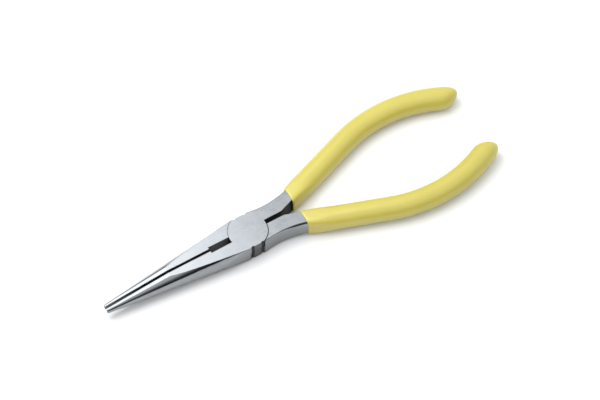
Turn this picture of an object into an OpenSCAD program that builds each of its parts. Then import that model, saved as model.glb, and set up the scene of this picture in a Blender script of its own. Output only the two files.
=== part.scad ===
// Needle nose pliers with a flush lap joint and dipped vinyl grips.
// Origin: where the pivot axis meets the flat rear face of the head.
// +X runs from the pivot to the handles, +Z along the pivot to the front face.
// The front half carries the lower jaw and the upper handle. The rear half is the
// same forging turned half a turn about the length of the tool.

/* [Head] */
// Distance from the pivot to the jaw tips
jaw_l = 60; // [50:1:70]
// Thickness of the head
head_t = 8.2; // [7.8:0.1:8.6]
// Width of the head across the pivot
head_w = 14; // [13.6:0.1:14.2]
// Radius of the round boss of the lap joint
boss_r = 7.5; // [7.3:0.1:7.7]
// Angle between the two halves at rest, above fully closed
rest_opening = 0.95; // [0.5:0.05:3]

/* [Jaws] */
// Radius of the closed jaws at the tips
tip_r = 1.3; // [1.1:0.1:1.8]
// Thickness of the jaws at the tips
tip_t = 2.2; // [1.8:0.1:2.6]
// Half angle of the cone that the jaws' flanks lie on
jaw_taper = 6.9; // [6.5:0.1:7.2]
// Length over which the jaws thin towards the tips
thinning_l = 26; // [20:1:32]
// Gap between the jaws at their root when the tips touch
root_gap = 0.75; // [0.4:0.05:1]
// Pitch of the cross serrations
serration_pitch = 0.75; // [0.7:0.05:1.2]
// Length of the serrated part, from the tips
serrated_l = 30; // [15:1:40]
// Depth of the serrations
serration_d = 0.22; // [0.1:0.02:0.3]

/* [Relief window] */
// Length of the window between the jaws, in front of the boss
window_l = 8.6; // [6:0.1:10]
// Width of the window when the tips touch
window_w = 2.36; // [1.6:0.02:3]

/* [Neck] */
// Half width of the slot between the handles, behind the boss
slot_half_w = 0.85; // [0.7:0.05:1.2]
// Where the slot starts to widen, from the pivot
slot_knee_x = 15; // [13:0.5:17]
// Radius of the waist that narrows the neck
waist_r = 30; // [28:1:34]
// Half width of the neck at its narrowest
waist_half_w = 6.42; // [6.3:0.02:6.6]

/* [Handles] */
// Where the grips start, from the pivot
grip_start = 20.8; // [20:0.2:22]
// Distance from the tool's middle to the grip's centre line at its mouth
grip_offset = 5.45; // [5.35:0.05:5.55]
// Angle of the straight part of each handle to the tool's length
handle_angle = 19.5; // [18:0.5:21]
// Length of the straight part of each handle
handle_straight = 33; // [28:1:36]
// Radius of the bow of each handle, along its centre line
bow_r = 54; // [50:1:60]
// Angle that the bow turns through, up to the grip's end cap
bow_angle = 45.3; // [38:0.1:48]
// Radius of the steel core inside the grip
core_r = 2.35; // [2:0.05:2.35]
// Outside radius of the grip
grip_r = 4.5; // [4.3:0.1:4.8]
// Length of the slanted round cap that ends the grip
cap_l = 7; // [5:0.5:9]
// How far the cap's tip leans to the outer side of the bow
cap_lean = 2; // [0:0.1:2.5]

/* [Pivot rivet] */
// Radius of the rivet's shank
rivet_r = 3; // [2.5:0.1:3.5]
// Radius of the rivet's flush heads
rivet_head_r = 3.7; // [3.6:0.1:4.2]
// Depth of the countersink that each head fills
rivet_head_d = 0.7; // [0.5:0.1:1]
// Running clearance of the rivet in the front half
rivet_gap = 0.02; // [0.02:0.01:0.08]

/* [Hidden] */
$fn = 96;

steel = "silver";
vinyl = "khaki";

half_t = head_t / 2;
half_w = head_w / 2;
// Gap between the two lapped faces, on each side of the parting plane
lap_gap = 0.025;
// Gap between a boss and the jaw that wraps it
jaw_seat_gap = 0.06;
// Gap between a boss and the handle that wraps it
handle_seat_gap = 0.25;
// Gap left at each tip when the jaws are closed
tip_gap = 0.02;
over = 1;

// Relief notches in the flanks of each boss
notch_r = 0.75;
notch_d = 0.35;
notch_jaw_x = -1.85;
notch_handle_x = 2.35;

// The neck's outer flank: a waist in plan, and rounded edges that narrow its two faces
waist_x = 9.3;
face_waist_x = 11;
face_waist_r = 36;
face_waist_half_w = 6.15;
edge_r = 2.6;
edge_angle = 52;
edge_in = edge_r * (1 - cos(edge_angle));
edge_down = edge_r * sin(edge_angle);

// The tang: the flat part of the handle, which ends just inside the grip
tang_end = grip_start + 3;
tang_inner_y = 2.9;

// The core thins a little where the bow starts, and stops short of the grip's end
core_step = 0.15;
core_short_by = 2;

// Grip sections: nearly square at the mouth, round further on
mouth_half_w = 3.7;
mouth_half_t = 4.5;
mouth_power = 4;
blend_l = 12;
square_up_l = 8;
section_sides = 32;
ring_step = 3;
cap_rings = 8;
// How squarely the outer side, the inner side and the two flats of the cap round off
cap_outer_power = 2.2;
cap_inner_power = 1.9;
cap_inner_fall = 0.6;
cap_flat_power = 2.5;

function bow_l() = bow_r * bow_angle * PI / 180;
function path_l() = handle_straight + bow_l();

// Point on the handle's centre line, s millimetres from the mouth of the grip
function straight_point(s) =
    [grip_start + s * cos(handle_angle), grip_offset + s * sin(handle_angle)];
function turned(s) = max(0, s - handle_straight) / bow_r * 180 / PI;
function bow_point(t) =
    straight_point(handle_straight)
    + bow_r * [sin(handle_angle) - sin(handle_angle - t), cos(handle_angle - t) - cos(handle_angle)];
function path_point(s) = s < handle_straight ? straight_point(s) : bow_point(turned(s));
function path_angle(s) = handle_angle * min(1, s / square_up_l) - turned(s);

// One section of the grip as a closed loop, from round to nearly square
function power_cos(a, n) = sign(cos(a)) * pow(abs(cos(a)), 2 / n);
function power_sin(a, n) = sign(sin(a)) * pow(abs(sin(a)), 2 / n);
function mix(a, b, t) = a + (b - a) * t;
function smooth(t) = t * t * (3 - 2 * t);
function unit_loop(n) =
    [for (i = [0:section_sides - 1])
        let (a = i * 360 / section_sides)
        [power_cos(a, n), power_sin(a, n)]];

// A loop of half width w and half thickness h, shifted across the path at s, ahead along it
function placed_loop(s, n, w, h, shift, ahead) =
    let (p = path_point(s))
    let (a = path_angle(s))
    [for (q = unit_loop(n))
        let (across = shift + w * q.x)
        [p.x + ahead * cos(a) - across * sin(a), p.y + ahead * sin(a) + across * cos(a), half_t + h * q.y]];

function body_loop(s) =
    let (t = smooth(min(1, s / blend_l)))
    let (w = mix(mouth_half_w, grip_r, t))
    let (h = mix(mouth_half_t, grip_r, t))
    placed_loop(s, mix(mouth_power, 2, t), w, h, 0, 0);

// The cap leans outwards: u runs from 0 at its base to 1 at its tip
function cap_outer(u) = cap_lean + (grip_r - cap_lean) * sqrt(1 - pow(u, cap_outer_power));
function cap_inner(u) = cap_lean - (grip_r + cap_lean) * pow(1 - pow(u, cap_inner_power), cap_inner_fall);
function cap_half_t(u) = grip_r * sqrt(1 - pow(u, cap_flat_power));
function cap_loop(u) =
    let (outer = cap_outer(u))
    let (inner = cap_inner(u))
    placed_loop(path_l(), 2, (outer - inner) / 2, cap_half_t(u), (outer + inner) / 2, u * cap_l);

// Sweeps the grip from its mouth to its rounded end
module grip_skin() {
    body_rings = ceil(path_l() / ring_step);
    body = [for (i = [0:body_rings]) body_loop(i * path_l() / body_rings)];
    cap = [for (i = [1:cap_rings]) cap_loop(sin(i * 90 / (cap_rings + 0.5)))];
    loops = concat(body, cap);
    last = len(loops) - 1;
    points = [for (loop = loops, p = loop) p];
    sides = [for (r = [0:last - 1], i = [0:section_sides - 1])
        let (j = (i + 1) % section_sides)
        let (near = r * section_sides)
        let (far = near + section_sides)
        [near + i, near + j, far + j, far + i]];
    mouth = [[for (i = [section_sides - 1:-1:0]) i]];
    end = [[for (i = [0:section_sides - 1]) last * section_sides + i]];
    polyhedron(points, concat(sides, mouth, end), convexity = 6);
}

// Steel core of a handle: a straight bar, then a slightly thinner one that follows the bow
module core() {
    into_tang = 4;
    into_bow = 1;
    core_turn = bow_angle - core_short_by;
    translate([grip_start, grip_offset, half_t])
        rotate([0, 0, handle_angle])
            translate([-into_tang, 0, 0])
                rotate([0, 90, 0])
                    cylinder(r = core_r, h = handle_straight + into_tang + into_bow);
    centre = straight_point(handle_straight) + bow_r * [sin(handle_angle), -cos(handle_angle)];
    translate([centre.x, centre.y, half_t])
        rotate([0, 0, 90 + handle_angle - core_turn])
            rotate_extrude(angle = core_turn)
                translate([bow_r, 0])
                    circle(r = core_r - core_step);
}

// Cone that the flanks of both closed jaws lie on
module jaw_cone() {
    root_r = tip_r + jaw_l * tan(jaw_taper);
    translate([-jaw_l, 0, half_t])
        rotate([0, 90, 0])
            cylinder(r1 = tip_r, r2 = root_r, h = jaw_l);
}

// Flat faces of the jaws, thinning towards the tips
module jaw_plate() {
    translate([0, half_w + over, 0])
        rotate([90, 0, 0])
            linear_extrude(head_w + 2 * over)
                polygon([
                    [0, 0], [0, head_t],
                    [thinning_l - jaw_l, head_t], [-jaw_l, half_t + tip_t / 2],
                    [-jaw_l, half_t - tip_t / 2], [thinning_l - jaw_l, 0]
                ]);
}

// Plan of the lower jaw with its share of the relief window
module jaw_plan() {
    window_x = -boss_r - window_l;
    difference() {
        polygon([
            [0, -half_w], [-jaw_l, -half_w], [-jaw_l, -tip_gap],
            [window_x, -root_gap / 2], [0, -root_gap / 2]
        ]);
        translate([window_x, -window_w / 2])
            square([window_l + boss_r + over, window_w]);
    }
}

// Fine cross grooves in the gripping face
module serrations() {
    side = serration_d * sqrt(2);
    for (x = [serration_pitch : serration_pitch : serrated_l])
        translate([x - jaw_l, -tip_gap - x / (jaw_l - boss_r - window_l) * (root_gap / 2), half_t])
            rotate([0, 0, 45])
                cube([side, side, head_t + over], center = true);
}

module jaw() {
    difference() {
        intersection() {
            jaw_cone();
            jaw_plate();
            linear_extrude(head_t)
                jaw_plan();
        }
        serrations();
    }
}

// Plan of the neck and the tang, above the slot between the handles
module tang_plan() {
    difference() {
        polygon([
            [0, slot_half_w], [slot_knee_x, slot_half_w], [grip_start, tang_inner_y],
            [tang_end, tang_inner_y + 1], [tang_end, 2 * half_w], [4, 2 * half_w], [4, half_w], [0, half_w]
        ]);
        translate([waist_x, waist_half_w + waist_r])
            circle(r = waist_r, $fn = 240);
    }
}

// Section of the neck's metal where the flank cutter meets it: a flat side with rounded edges
module flank_section() {
    side_r = face_waist_r - edge_in;
    flat_half_t = half_t - edge_down;
    translate([side_r, -flat_half_t])
        square([face_waist_r, 2 * flat_half_t]);
    translate([side_r + edge_r, -half_t - 2 * over])
        square([face_waist_r, head_t + 4 * over]);
    for (side = [-1, 1])
        translate([side_r + edge_r, side * flat_half_t])
            circle(r = edge_r);
}

// Solid of revolution that cuts the outer flank of the tang and rounds its edges
module flank_cutter() {
    translate([face_waist_x, face_waist_half_w + face_waist_r, half_t])
        rotate_extrude($fn = 240)
            difference() {
                translate([face_waist_r / 2, -half_t - over])
                    square([face_waist_r / 2 + over / 4, head_t + 2 * over]);
                flank_section();
            }
}

module handle() {
    difference() {
        linear_extrude(head_t)
            tang_plan();
        flank_cutter();
    }
    core();
}

// The front half of the lap: a round boss with flat sides
module boss() {
    translate([0, 0, half_t + lap_gap])
        intersection() {
            cylinder(r = boss_r, h = half_t - lap_gap);
            translate([-boss_r, -half_w, 0])
                cube([2 * boss_r, head_w, half_t]);
        }
}

// Round seat behind the parting plane, in which the other half's boss turns
module boss_seat() {
    depth = half_t + lap_gap + over;
    translate([0, 0, -over]) {
        cylinder(r = boss_r + jaw_seat_gap, h = depth);
        intersection() {
            cylinder(r = boss_r + handle_seat_gap, h = depth);
            translate([0, -head_w, 0])
                cube([head_w, 2 * head_w, depth]);
        }
    }
}

module flank_notches() {
    for (x = [notch_jaw_x, notch_handle_x], side = [-1, 1])
        translate([x, side * (half_w + notch_r - notch_d), half_t])
            cylinder(r = notch_r, h = half_t + over);
}

// Shape of the rivet, grown by a clearance
module rivet_shape(gap) {
    cylinder(r = rivet_r + gap, h = head_t);
    cylinder(r1 = rivet_head_r + gap, r2 = rivet_r + gap, h = rivet_head_d);
    translate([0, 0, head_t - rivet_head_d])
        cylinder(r1 = rivet_r + gap, r2 = rivet_head_r + gap, h = rivet_head_d);
}

// One forging, closed, lying as the front half
module forging(rivet_clearance) {
    difference() {
        union() {
            difference() {
                union() {
                    jaw();
                    handle();
                }
                boss_seat();
            }
            boss();
        }
        flank_notches();
        rivet_shape(rivet_clearance);
    }
}

module grip() {
    difference() {
        grip_skin();
        handle();
    }
}

// Turns a piece of the front half from fully closed to the resting pose
module front_pose() {
    rotate([0, 0, rest_opening / 2])
        children();
}

// Lays a piece of the front half down as its twin in the rear half
module rear_pose() {
    translate([0, 0, head_t])
        rotate([180, 0, 0])
            front_pose()
                children();
}

module front_half() {
    color(steel)
        front_pose()
            forging(rivet_gap);
}

module rear_half() {
    color(steel)
        rear_pose()
            forging(0);
}

module pivot_rivet() {
    color(steel)
        rivet_shape(0);
}

module front_grip() {
    color(vinyl)
        front_pose()
            grip();
}

module rear_grip() {
    color(vinyl)
        rear_pose()
            grip();
}

front_half();
rear_half();
pivot_rivet();
front_grip();
rear_grip();
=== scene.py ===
"""Needle nose pliers: detailed meshes, finishes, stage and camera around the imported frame.

Everything is in metres in the frame of the CAD part: the origin is where the pivot axis
meets the rear face, +X runs to the handles and +Z to the front face.
"""

import math

import bmesh
import bpy
from mathutils import Matrix, Vector


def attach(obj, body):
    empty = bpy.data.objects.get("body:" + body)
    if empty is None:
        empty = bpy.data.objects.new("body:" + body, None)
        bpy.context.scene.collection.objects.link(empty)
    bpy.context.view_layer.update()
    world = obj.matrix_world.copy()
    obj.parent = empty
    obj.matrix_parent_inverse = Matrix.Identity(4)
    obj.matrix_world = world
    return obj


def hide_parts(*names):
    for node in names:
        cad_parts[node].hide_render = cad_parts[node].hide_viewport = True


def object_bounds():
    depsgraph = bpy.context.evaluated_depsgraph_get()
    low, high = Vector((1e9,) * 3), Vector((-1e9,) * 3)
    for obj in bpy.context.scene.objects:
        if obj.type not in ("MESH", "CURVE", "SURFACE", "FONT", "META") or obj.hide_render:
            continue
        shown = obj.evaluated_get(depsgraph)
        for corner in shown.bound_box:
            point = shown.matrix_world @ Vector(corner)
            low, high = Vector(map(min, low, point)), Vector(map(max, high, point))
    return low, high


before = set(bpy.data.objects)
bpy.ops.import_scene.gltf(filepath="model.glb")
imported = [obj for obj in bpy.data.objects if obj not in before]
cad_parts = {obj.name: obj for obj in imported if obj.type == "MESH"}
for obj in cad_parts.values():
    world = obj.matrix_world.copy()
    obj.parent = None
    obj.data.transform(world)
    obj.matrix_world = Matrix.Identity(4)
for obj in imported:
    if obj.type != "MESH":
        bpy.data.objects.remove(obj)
cad_low, cad_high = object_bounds()

MM = 0.001

# Sizes of the head, jaws and necks, as in the CAD part (millimetres and degrees)
HEAD_T = 8.2
HALF_T = HEAD_T / 2
HALF_W = 7.0
JAW_L = 60.0
BOSS_R = 7.5
WINDOW_L = 8.6
THINNING_X = -33.5
TIP_R = 1.3
JAW_TAPER = 6.9
WAIST_X = 9.3
WAIST_R = 30.0
WAIST_HALF_W = 6.42
FACE_WAIST_X = 11.0
FACE_WAIST_R = 36.0
FACE_WAIST_HALF_W = 6.15
FLANK_EDGE_R = 2.6
FLANK_EDGE_ANGLE = 52.0
REST_OPENING = 0.95

# Sizes of the handles and grips, as in the CAD part
GRIP_START = 20.8
GRIP_OFFSET = 5.45
HANDLE_ANGLE = 19.5
HANDLE_STRAIGHT = 33.0
BOW_R = 54.0
BOW_ANGLE = 45.3
GRIP_R = 4.5
CAP_L = 7.0
CAP_LEAN = 2.0
CAP_OUTER_POWER = 2.2
CAP_INNER_POWER = 1.9
CAP_INNER_FALL = 0.6
CAP_FLAT_POWER = 2.5
BLEND_L = 12.0
SQUARE_UP_L = 8.0
MOUTH_HALF_W = 3.7
MOUTH_HALF_T = 4.5
MOUTH_POWER = 4.0
PATH_L = HANDLE_STRAIGHT + BOW_R * math.radians(BOW_ANGLE)

# Grip mesh: sides of a loop, rings of the rounded end, and the rolled lip at the mouth
SIDES = 64
CAP_RINGS = 20
LIP_R = 0.35
LIP_STEPS = 5
LIP_DEPTH = 0.5
MOUTH_DEPTH = 1.6
MOUTH_CLOSING = 0.12

# Clean-up of the forgings' meshes: vertices this near are one (metres), and faces this flat are one
MERGE = 1e-7
SAME_PLANE_ANGLE = 0.05

# Rounding of the forgings' edges, and the places that are left sharp
EDGE_R = 0.12
EDGE_SEGMENTS = 2
EDGE_ANGLE = 18.0
TEETH_HALF_W = 0.9
TEETH_END_X = -28.0
RIVET_ZONE_R = 4.5

# How a facet is matched to the curved surface that it lies on
SAME_SURFACE_ANGLE = 35.0
ON_SURFACE = 0.012
FLAT_SIDE = 0.9995
FLAT_TOP = 0.98
PIVOT_WALL_INSIDE = 0.1
PIVOT_WALL_OUTSIDE = 0.4

# How a face is matched to its finish: distances in millimetres, and parts of a unit normal
ON_PLANE = 0.05
OUTER_DEPTH = 0.2
JOINT_MARGIN = 0.5
NECK_FROM_X = 3.0
NECK_FROM_Y = 5.0
FACING = 0.9
ALONG_CONE = 0.8
OUTWARDS = 0.1

# Depths of the fine relief in the finishes
GRAIN_DEPTH = 0.02 * MM
PEEL_DEPTH = 0.04 * MM

# Camera
CAMERA_TARGET = Vector((24.6, 3.57, 4.1)) * MM
CAMERA_AZIMUTH = -30.98
CAMERA_ELEVATION = 58.64
CAMERA_DISTANCE = 1.117
CAMERA_LENS = 180.0
CAMERA_SENSOR = 36.0
CAMERA_CLIP = (0.05, 20.0)

# Stage
FLOOR_HALF = 6.0
FLOOR_COLOUR = (0.82, 0.82, 0.82, 1)
SOFTBOX_PLACE = Vector((-0.06, 0.18, 0.35))
SOFTBOX_TARGET = Vector((-0.06, 0.18, 0))
SOFTBOX_SIZE = (0.3, 0.4)
SOFTBOX_WATTS = 1.35

# Studio dome: its light grows with the cube of height and with the square of the distance to the
# left and right, is less dark at its far side, and stops at a cap
DOME_COLOUR = (0.97, 0.985, 1.0, 1)
DOME_RISE = 3.1
DOME_POWER = 3.0
DOME_TOP = 1.2
FAR_GLOW = 0.28
FAR_GLOW_FROM = -0.6
SIDE_GLOW = 1.0


def aim(obj, place, target):
    """Puts obj at place, looking at target with +Z up."""
    obj.location = place
    obj.rotation_mode = "QUATERNION"
    obj.rotation_quaternion = (target - place).to_track_quat("-Z", "Y")


def direction(azimuth, elevation):
    """Unit vector from the object towards a viewer at that azimuth and elevation."""
    a = math.radians(azimuth)
    e = math.radians(elevation)
    return Vector((math.sin(a) * math.cos(e), -math.cos(a) * math.cos(e), math.sin(e)))


def link(obj):
    bpy.context.scene.collection.objects.link(obj)
    return obj


# ---------------------------------------------------------------- camera

def make_camera():
    data = bpy.data.cameras.new("camera")
    data.lens = CAMERA_LENS
    data.sensor_width = CAMERA_SENSOR
    data.dof.use_dof = False
    data.clip_start, data.clip_end = CAMERA_CLIP
    camera = link(bpy.data.objects.new("camera", data))
    back = direction(CAMERA_AZIMUTH, CAMERA_ELEVATION)
    aim(camera, CAMERA_TARGET + back * CAMERA_DISTANCE, CAMERA_TARGET)
    bpy.context.scene.camera = camera


# ---------------------------------------------------------------- materials

def new_material(name):
    material = bpy.data.materials.new(name)
    material.use_nodes = True
    return material, material.node_tree, material.node_tree.nodes["Principled BSDF"]


def join(tree, source, output, target, socket):
    tree.links.new(source.outputs[output], target.inputs[socket])


def scaled_coordinates(tree, scale):
    """Object coordinates stretched per axis, for grain that runs one way."""
    coordinates = tree.nodes.new("ShaderNodeTexCoord")
    mapping = tree.nodes.new("ShaderNodeMapping")
    mapping.inputs["Scale"].default_value = scale
    join(tree, coordinates, "Object", mapping, "Vector")
    return mapping


def noise(tree, mapping, scale, detail, rough):
    node = tree.nodes.new("ShaderNodeTexNoise")
    node.inputs["Scale"].default_value = scale
    node.inputs["Detail"].default_value = detail
    node.inputs["Roughness"].default_value = rough
    join(tree, mapping, "Vector", node, "Vector")
    return node


def ramp(tree, source, output, low, high, start=0.3, end=0.7):
    """Maps a factor to a range of colours, or of values if low and high are numbers."""
    node = tree.nodes.new("ShaderNodeValToRGB")
    stops = node.color_ramp.elements
    for stop, position, value in zip(stops, (start, end), (low, high)):
        stop.position = position
        stop.color = (*value, 1) if isinstance(value, tuple) else (value, value, value, 1)
    join(tree, source, output, node, "Fac")
    return node


def bump(tree, shader, source, strength, distance):
    """Raises the surface by a noise."""
    node = tree.nodes.new("ShaderNodeBump")
    node.inputs["Strength"].default_value = strength
    node.inputs["Distance"].default_value = distance
    join(tree, source, "Fac", node, "Height")
    join(tree, node, "Normal", shader, "Normal")


def half_and_half(tree, one, other):
    """The mean of two noises."""
    node = tree.nodes.new("ShaderNodeMix")
    node.data_type = "FLOAT"
    node.inputs["Factor"].default_value = 0.5
    join(tree, one, "Fac", node, 2)
    join(tree, other, "Fac", node, 3)
    return node


def steel_material(name, dark, light, rough, grain, grain_strength, metallic=1.0):
    """Steel with a directional grain, soft blotches of tone and fine wear in its roughness.

    The base colour runs from dark to light, rough is the least and most roughness, and grain
    is how fine the grain is along each axis.
    """
    material, tree, shader = new_material(name)
    shader.inputs["Metallic"].default_value = metallic
    fine = noise(tree, scaled_coordinates(tree, grain), scale=1.0, detail=6.0, rough=0.65)
    broad = noise(tree, scaled_coordinates(tree, (1, 1, 1)), scale=220.0, detail=3.0, rough=0.5)
    tone = half_and_half(tree, fine, broad)
    join(tree, ramp(tree, tone, 0, dark, light), "Color", shader, "Base Color")
    join(tree, ramp(tree, tone, 0, *rough), "Color", shader, "Roughness")
    bump(tree, shader, fine, grain_strength, GRAIN_DEPTH)
    return material


def vinyl_material(name, dark, light, rough, scuff_grain):
    """Semi-gloss dipped vinyl: faint mottling, slight orange peel and scuffs in the gloss."""
    material, tree, shader = new_material(name)
    even = scaled_coordinates(tree, (1, 1, 1))
    mottle = noise(tree, even, scale=90.0, detail=4.0, rough=0.55)
    join(tree, ramp(tree, mottle, "Fac", dark, light), "Color", shader, "Base Color")
    scuffs = noise(tree, scaled_coordinates(tree, scuff_grain), scale=1.0, detail=5.0, rough=0.7)
    join(tree, ramp(tree, scuffs, "Fac", *rough), "Color", shader, "Roughness")
    peel = noise(tree, even, scale=700.0, detail=2.0, rough=0.4)
    bump(tree, shader, peel, 0.06, PEEL_DEPTH)
    shader.inputs["Specular IOR Level"].default_value = 0.8
    shader.inputs["Subsurface Weight"].default_value = 0.15
    shader.inputs["Subsurface Radius"].default_value = (0.004, 0.003, 0.001)
    shader.inputs["Subsurface Scale"].default_value = 0.3
    return material


# ---------------------------------------------------------------- forgings

def closed_front_frame(point, rear):
    """A point of either half, as if it were on the closed front half (millimetres)."""
    x, y, z = point.x / MM, point.y / MM, point.z / MM
    if rear:
        y, z = -y, HEAD_T - z
    a = -math.radians(REST_OPENING / 2)
    return Vector((x * math.cos(a) - y * math.sin(a), x * math.sin(a) + y * math.cos(a), z))


def closed_front_normal(normal, rear):
    """The same change of frame for a normal."""
    flipped = Vector((normal.x, -normal.y, -normal.z)) if rear else normal.copy()
    return Matrix.Rotation(-math.radians(REST_OPENING / 2), 3, "Z") @ flipped


def back_to_pose(normal, rear):
    """A normal of the closed front half, back in the pose of either half."""
    turned = Matrix.Rotation(math.radians(REST_OPENING / 2), 3, "Z") @ normal
    return Vector((turned.x, -turned.y, -turned.z)) if rear else turned


def cone_normal(p):
    """Outward normal of the cone that the jaws' flanks lie on, and how far p is from it."""
    slope = math.tan(math.radians(JAW_TAPER))
    r = math.hypot(p.y, p.z - HALF_T)
    off = r - (TIP_R + (JAW_L + p.x) * slope)
    return Vector((-slope, p.y / r, (p.z - HALF_T) / r)).normalized(), off


def waist_normal(p):
    """Normal of the upright waist of the neck, which curves round an axis beside it."""
    out = Vector((WAIST_X - p.x, WAIST_HALF_W + WAIST_R - p.y, 0))
    return out.normalized(), out.length - WAIST_R


def flank_normal(p):
    """Normal of the neck's outer flank: upright in the middle, rounded towards both faces."""
    out = Vector((FACE_WAIST_X - p.x, FACE_WAIST_HALF_W + FACE_WAIST_R - p.y, 0))
    edge_angle = math.radians(FLANK_EDGE_ANGLE)
    ring = FACE_WAIST_R + FLANK_EDGE_R * math.cos(edge_angle)
    flat_half_t = HALF_T - FLANK_EDGE_R * math.sin(edge_angle)
    height = p.z - HALF_T
    above = math.copysign(max(0.0, abs(height) - flat_half_t), height)
    normal = out.normalized() * (ring - out.length) + Vector((0, 0, above))
    return normal.normalized(), normal.length - FLANK_EDGE_R


def pivot_normal(p):
    """Normal of the round walls of the lap joint, whose radii differ a little."""
    out = Vector((p.x, p.y, 0))
    on_wall = BOSS_R - PIVOT_WALL_INSIDE < out.length < BOSS_R + PIVOT_WALL_OUTSIDE
    return out.normalized(), 0.0 if on_wall else 1.0


# BLACK is painted shade: near-black steel on the inner walls, slot, lap seat and notches, standing in
# for the shadow in these hollows
GROUND, POLISHED, SIDE, BLACK, GRIPPING, WINDOW = range(6)


def finish_of(p, n):
    """Which finish a face has, from its middle and its normal in the closed front frame."""
    if p.x < ON_PLANE - JAW_L:
        return SIDE
    outer_face = p.z > HEAD_T - OUTER_DEPTH or p.z < OUTER_DEPTH
    if abs(n.z) > FACING and (outer_face or p.x < THINNING_X):
        return GROUND
    if p.x < 0 and p.x * p.x + p.y * p.y > (BOSS_R + JOINT_MARGIN) ** 2:
        if cone_normal(p)[0].dot(n) > ALONG_CONE:
            return POLISHED
        return GRIPPING if p.x < -BOSS_R - WINDOW_L else WINDOW
    if p.x < BOSS_R and abs(abs(p.y) - HALF_W) < ON_PLANE and abs(n.y) > FACING:
        return SIDE
    if p.x > NECK_FROM_X and p.y > NECK_FROM_Y and n.y > OUTWARDS:
        return POLISHED
    # Every other face is an inner wall or hollow, and gets the near-black painted shade
    return BLACK


def smooth_surface(corners, n):
    """Which curved surface a facet with these corners and normal n lies on, if any."""
    if abs(n.y) > FLAT_SIDE or abs(n.z) > FLAT_TOP:
        return None
    middle = sum(corners, Vector()) / len(corners)
    for surface in (cone_normal, waist_normal, flank_normal, pivot_normal):
        along = abs(surface(middle)[0].dot(n)) > math.cos(math.radians(SAME_SURFACE_ANGLE))
        if along and all(abs(surface(p)[1]) < ON_SURFACE for p in corners):
            return surface
    return None


def set_exact_normals(bm, normals, rear):
    """Gives each corner of a face the normal of the surface that the face lies on."""
    for face in bm.faces:
        n = closed_front_normal(face.normal, rear)
        corners = [closed_front_frame(v.co, rear) for v in face.verts]
        surface = smooth_surface(corners, n)
        for loop, corner in zip(face.loops, corners):
            normal = surface(corner)[0] if surface else n
            loop[normals] = back_to_pose(normal if normal.dot(n) > 0 else -normal, rear)


def stays_sharp(edge):
    """Edges of the fine teeth and of the rivet's hole."""
    middle = (edge.verts[0].co + edge.verts[1].co) / 2 / MM
    toothed = abs(middle.y) < TEETH_HALF_W and middle.x < TEETH_END_X
    return toothed or math.hypot(middle.x, middle.y) < RIVET_ZONE_R


def sharp_edges(bm, normals):
    """Edges where two surfaces meet at an angle."""
    edges = []
    for edge in bm.edges:
        if len(edge.link_loops) != 2 or stays_sharp(edge):
            continue
        one, other = edge.link_loops
        if one[normals].angle(other.link_loop_next[normals], 0.0) > math.radians(EDGE_ANGLE):
            edges.append(edge)
    return edges


def break_edges(bm, normals):
    """Rounds the sharp edges. The new faces take their normals from the faces beside them."""
    rounded = bmesh.ops.bevel(
        bm, geom=sharp_edges(bm, normals), offset=EDGE_R * MM, offset_type="OFFSET",
        segments=EDGE_SEGMENTS, profile=0.5, affect="EDGES", clamp_overlap=False,
        loop_slide=True, material=-1)
    strips = set(rounded["faces"])
    for face in strips:
        for loop in face.loops:
            beside = [other[normals] for other in loop.vert.link_loops if other.face not in strips]
            loop[normals] = sum(beside, Vector()).normalized() if beside else face.normal


def set_finishes(bm, rear):
    """Gives each face its finish, and shades all faces smooth."""
    for face in bm.faces:
        middle = closed_front_frame(face.calc_center_median(), rear)
        face.material_index = finish_of(middle, closed_front_normal(face.normal, rear))
        face.smooth = True


def forging(name, node, rear, materials):
    """The node's own shape with its sharp edges broken and a finish for each kind of face."""
    bm = bmesh.new()
    bm.from_mesh(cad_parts[node].data)
    bmesh.ops.remove_doubles(bm, verts=bm.verts, dist=MERGE)
    same_plane = math.radians(SAME_PLANE_ANGLE)
    bmesh.ops.dissolve_limit(bm, angle_limit=same_plane, verts=bm.verts, edges=bm.edges)
    bm.normal_update()
    normals = bm.loops.layers.float_vector.new("exact_normal")
    set_exact_normals(bm, normals, rear)
    break_edges(bm, normals)
    bm.normal_update()
    set_finishes(bm, rear)
    mesh = bpy.data.meshes.new(name)
    for material in materials:
        mesh.materials.append(material)
    bm.to_mesh(mesh)
    bm.free()
    mesh.normals_split_custom_set([value.vector for value in mesh.attributes["exact_normal"].data])
    mesh.attributes.remove(mesh.attributes["exact_normal"])
    piece = link(bpy.data.objects.new(name, mesh))
    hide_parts(node)
    return piece


# ---------------------------------------------------------------- grips

def mix(a, b, t):
    return a + (b - a) * t


def eased(t):
    """Rises from 0 to 1 with level ends."""
    t = max(0.0, min(1.0, t))
    return t * t * (3 - 2 * t)


def straight_point(s):
    a = math.radians(HANDLE_ANGLE)
    return Vector((GRIP_START + s * math.cos(a), GRIP_OFFSET + s * math.sin(a), HALF_T))


def path_point(s):
    """Point on the handle's centre line, s millimetres from the grip's mouth."""
    if s < HANDLE_STRAIGHT:
        return straight_point(s)
    a = math.radians(HANDLE_ANGLE)
    b = a - (s - HANDLE_STRAIGHT) / BOW_R
    turn = Vector((math.sin(a) - math.sin(b), math.cos(b) - math.cos(a), 0))
    return straight_point(HANDLE_STRAIGHT) + BOW_R * turn


def path_angle(s):
    """Heading of the loop at s, which is upright to X at the mouth and squares up from there."""
    turned = max(0.0, s - HANDLE_STRAIGHT) / BOW_R
    return math.radians(HANDLE_ANGLE) * min(1.0, s / SQUARE_UP_L) - turned


def power(value, n):
    """A sine or cosine for a superellipse: n is 2 for an ellipse, and more for a squarer loop."""
    return math.copysign(abs(value) ** (2 / n), value)


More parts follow.
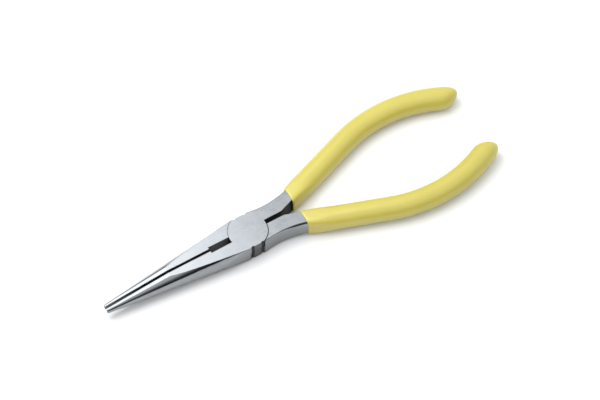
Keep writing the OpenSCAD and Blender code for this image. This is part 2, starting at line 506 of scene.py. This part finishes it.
def placed_loop(s, n, half_w, half_t, shift=0.0, ahead=0.0):
    """A loop across the path at s: n is how square it is, shift is outwards, ahead is along it."""
    centre = path_point(s)
    angle = path_angle(s)
    along = Vector((math.cos(angle), math.sin(angle), 0))
    across = Vector((-math.sin(angle), math.cos(angle), 0))
    loop = []
    for i in range(SIDES):
        a = 2 * math.pi * i / SIDES
        w = shift + half_w * power(math.cos(a), n)
        h = half_t * power(math.sin(a), n)
        loop.append(centre + along * ahead + across * w + Vector((0, 0, h)))
    return loop


def body_loop(s, ahead=0.0, inset=0.0):
    """One loop of the grip's skin round the path point at s."""
    t = eased(s / BLEND_L)
    half_w = mix(MOUTH_HALF_W, GRIP_R, t) - inset
    half_t = mix(MOUTH_HALF_T, GRIP_R, t) - inset
    return placed_loop(s, mix(MOUTH_POWER, 2.0, t), half_w, half_t, 0.0, ahead)


def cap_loop(u):
    """One loop of the rounded end, which leans outwards: u runs from 0 at its base to 1."""
    outer = CAP_LEAN + (GRIP_R - CAP_LEAN) * math.sqrt(1 - u ** CAP_OUTER_POWER)
    inner = CAP_LEAN - (GRIP_R + CAP_LEAN) * (1 - u ** CAP_INNER_POWER) ** CAP_INNER_FALL
    half_t = GRIP_R * math.sqrt(1 - u ** CAP_FLAT_POWER)
    return placed_loop(PATH_L, 2.0, (outer - inner) / 2, half_t, (outer + inner) / 2, u * CAP_L)


def grip_loops():
    """Loops from inside the mouth, round its lip and along the grip to its rounded end."""
    loops = [body_loop(0, MOUTH_DEPTH, 2 * LIP_R + MOUTH_CLOSING), body_loop(0, LIP_DEPTH, 2 * LIP_R)]
    for i in range(LIP_STEPS + 1):
        a = math.pi * i / LIP_STEPS
        loops.append(body_loop(0, LIP_R - LIP_R * math.sin(a), LIP_R + LIP_R * math.cos(a)))
    rings = int(PATH_L)
    for i in range(1, rings + 1):
        loops.append(body_loop(i * PATH_L / rings))
    for i in range(1, CAP_RINGS + 1):
        loops.append(cap_loop(math.sin(math.radians(i * 90 / (CAP_RINGS + 0.5)))))
    return loops


def posed_loops(rear):
    """The grip's loops on either half at rest, in metres."""
    turn = Matrix.Rotation(math.radians(REST_OPENING / 2), 4, "Z")
    rows = []
    for loop in grip_loops():
        row = [turn @ p for p in loop]
        if rear:
            row = [Vector((p.x, -p.y, HEAD_T - p.z)) for p in row]
        rows.append([p * MM for p in row])
    return rows


def grip(name, node, rear, material):
    """A closed skin over the grip's loops."""
    bm = bmesh.new()
    rows = [[bm.verts.new(p) for p in row] for row in posed_loops(rear)]
    for lower, upper in zip(rows, rows[1:]):
        for i in range(SIDES):
            j = (i + 1) % SIDES
            bm.faces.new((lower[i], lower[j], upper[j], upper[i]))
    bm.faces.new(reversed(rows[0]))
    bm.faces.new(rows[-1])
    bmesh.ops.recalc_face_normals(bm, faces=bm.faces)
    for face in bm.faces:
        face.smooth = True
    mesh = bpy.data.meshes.new(name)
    bm.to_mesh(mesh)
    bm.free()
    mesh.materials.append(material)
    piece = link(bpy.data.objects.new(name, mesh))
    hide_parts(node)
    return piece


# ---------------------------------------------------------------- stage

def make_softbox():
    data = bpy.data.lights.new("overhead softbox", "AREA")
    data.shape = "RECTANGLE"
    data.size, data.size_y = SOFTBOX_SIZE
    data.energy = SOFTBOX_WATTS
    light = link(bpy.data.objects.new("overhead softbox", data))
    aim(light, SOFTBOX_PLACE, SOFTBOX_TARGET)


def make_floor():
    corners = [(x * FLOOR_HALF, y * FLOOR_HALF, 0) for x, y in ((-1, -1), (1, -1), (1, 1), (-1, 1))]
    mesh = bpy.data.meshes.new("floor")
    mesh.from_pydata(corners, [], [(0, 1, 2, 3)])
    floor = link(bpy.data.objects.new("floor", mesh))
    floor.location.z = cad_low.z
    material, _, shader = new_material("floor paper")
    shader.inputs["Base Color"].default_value = FLOOR_COLOUR
    shader.inputs["Roughness"].default_value = 0.9
    shader.inputs["Specular IOR Level"].default_value = 0.1
    mesh.materials.append(material)


def maths(tree, operation, *values):
    """A maths node and its output. Each value is a number, or a node and its output."""
    node = tree.nodes.new("ShaderNodeMath")
    node.operation = operation
    for socket, value in enumerate(values):
        if isinstance(value, tuple):
            join(tree, *value, node, socket)
        else:
            node.inputs[socket].default_value = value
    return node, 0


def dome_strength(tree):
    """The dome's light in each direction, and the output that carries it."""
    coordinates = tree.nodes.new("ShaderNodeTexCoord")
    split = tree.nodes.new("ShaderNodeSeparateXYZ")
    join(tree, coordinates, "Generated", split, "Vector")
    x, y, z = (split, "X"), (split, "Y"), (split, "Z")
    raised = maths(tree, "POWER", maths(tree, "MAXIMUM", z, 0.0), DOME_POWER)
    overhead = maths(tree, "MULTIPLY", raised, DOME_RISE)
    beyond = maths(tree, "MAXIMUM", maths(tree, "SUBTRACT", y, FAR_GLOW_FROM), 0.0)
    with_far = maths(tree, "MULTIPLY_ADD", beyond, FAR_GLOW, overhead)
    with_sides = maths(tree, "MULTIPLY_ADD", maths(tree, "MULTIPLY", x, x), SIDE_GLOW, with_far)
    return maths(tree, "MINIMUM", with_sides, DOME_TOP)


def make_world():
    """Soft studio dome, which the camera sees as a white backdrop."""
    world = bpy.data.worlds.new("studio")
    world.use_nodes = True
    tree = world.node_tree
    dome = tree.nodes["Background"]
    dome.inputs["Color"].default_value = DOME_COLOUR
    join(tree, *dome_strength(tree), dome, "Strength")
    backdrop = tree.nodes.new("ShaderNodeBackground")
    backdrop.inputs["Color"].default_value = (1, 1, 1, 1)
    rays = tree.nodes.new("ShaderNodeLightPath")
    choice = tree.nodes.new("ShaderNodeMixShader")
    join(tree, rays, "Is Camera Ray", choice, "Fac")
    join(tree, dome, "Background", choice, 1)
    join(tree, backdrop, "Background", choice, 2)
    join(tree, choice, "Shader", tree.nodes["World Output"], "Surface")
    bpy.context.scene.world = world


make_camera()
make_floor()
make_world()
make_softbox()

# In the order of GROUND, POLISHED, SIDE, BLACK, GRIPPING, WINDOW
steels = [
    steel_material(
        "ground face", dark=(0.200, 0.212, 0.223), light=(0.256, 0.269, 0.282),
        rough=(0.24, 0.34), grain=(150, 4000, 150), grain_strength=0.35),
    steel_material(
        "polished flank", dark=(0.240, 0.250, 0.261), light=(0.297, 0.308, 0.319),
        rough=(0.10, 0.18), grain=(200, 3000, 3000), grain_strength=0.1),
    steel_material(
        "satin side", dark=(0.08, 0.081, 0.084), light=(0.125, 0.126, 0.13),
        rough=(0.28, 0.40), grain=(300, 3000, 3000), grain_strength=0.3),
    # Painted shade: near-black steel for the inner walls and hollows, in place of the shadow that
    # falls there
    steel_material(
        "painted shade black steel", dark=(0.012, 0.012, 0.012), light=(0.035, 0.034, 0.033),
        rough=(0.45, 0.65), grain=(900, 900, 900), grain_strength=0.6, metallic=0.6),
    steel_material(
        "gripping face", dark=(0.10, 0.10, 0.105), light=(0.2, 0.2, 0.205),
        rough=(0.3, 0.45), grain=(900, 900, 900), grain_strength=0.4),
    steel_material(
        "window wall", dark=(0.16, 0.16, 0.165), light=(0.30, 0.30, 0.305),
        rough=(0.45, 0.60), grain=(900, 900, 900), grain_strength=0.5, metallic=0.5),
]
vinyl = vinyl_material(
    "yellow vinyl", dark=(0.490, 0.420, 0.066), light=(0.513, 0.442, 0.075),
    rough=(0.27, 0.32), scuff_grain=(300, 900, 900))

pieces = [
    (forging("front_forging", "front_half", False, steels), "front_arm"),
    (forging("rear_forging", "rear_half", True, steels), "rear_arm"),
    (grip("front_dipped_grip", "front_grip", False, vinyl), "front_arm"),
    (grip("rear_dipped_grip", "rear_grip", True, vinyl), "rear_arm"),
]
for piece, body in pieces:
    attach(piece, body)
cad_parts["pivot_rivet"].data.materials.clear()
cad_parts["pivot_rivet"].data.materials.append(steels[GROUND])

scene = bpy.context.scene
scene.view_settings.view_transform = "Standard"
scene.view_settings.look = "None"
scene.view_settings.exposure = 0.0
scene.view_settings.gamma = 1.0
